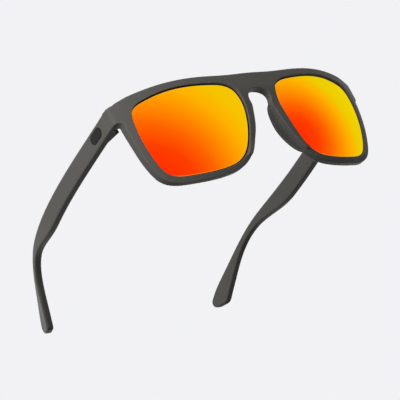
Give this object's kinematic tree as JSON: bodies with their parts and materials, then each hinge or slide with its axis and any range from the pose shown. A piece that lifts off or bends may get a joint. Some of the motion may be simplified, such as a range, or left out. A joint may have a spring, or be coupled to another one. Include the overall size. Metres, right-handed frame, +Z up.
{
  "type": "glacier glasses",
  "caption": "Framed sunglasses with wrapped square mirrored lenses, a keyhole bridge with nose rests, and folding temples with curved ear ends.",
  "frame": {"origin": "centre of the bounding box on the surface that the glasses rest on", "axes": "+X to the wearer's left, +Y from the front back to the ears, +Z up; at rest on the lower rims and the temple tips"},
  "size_m": [0.1456, 0.1524, 0.0494],
  "materials": {
    "frame": "matte dark grey moulded plastic",
    "lens": "orange to yellow mirror coating on a dark lens",
    "pad": "smooth soft dark rubber",
    "hinge": "plain steel",
    "screw": "plain steel, slotted head",
    "inlay": "plain glossy dark plastic, bare"
  },
  "bodies": {
    "front": {"frame_front": "frame", "lens_left": "lens", "lens_right": "lens", "nose_pad_left": "pad", "nose_pad_right": "pad", "front_hinge_leaf_left": "hinge", "front_hinge_leaf_right": "hinge", "hinge_screw_left": "screw", "hinge_screw_right": "screw"},
    "left_temple": {"temple_left": "frame", "temple_hinge_leaf_left": "hinge", "temple_inlay_left": "inlay"},
    "right_temple": {"temple_right": "frame", "temple_hinge_leaf_right": "hinge", "temple_inlay_right": "inlay"}
  },
  "joints": [
    {"name": "left_temple_fold", "type": "hinge", "parent": "front", "child": "left_temple", "pos_m": [0.0647, -0.05395, 0.04061], "axis": [0, 0.1601, 0.9871], "range_deg": [0, 83.4]},
    {"name": "right_temple_fold", "type": "hinge", "parent": "front", "child": "right_temple", "pos_m": [-0.0647, -0.05395, 0.04061], "axis": [0, -0.1601, -0.9871], "range_deg": [0, 70]}
  ]
}
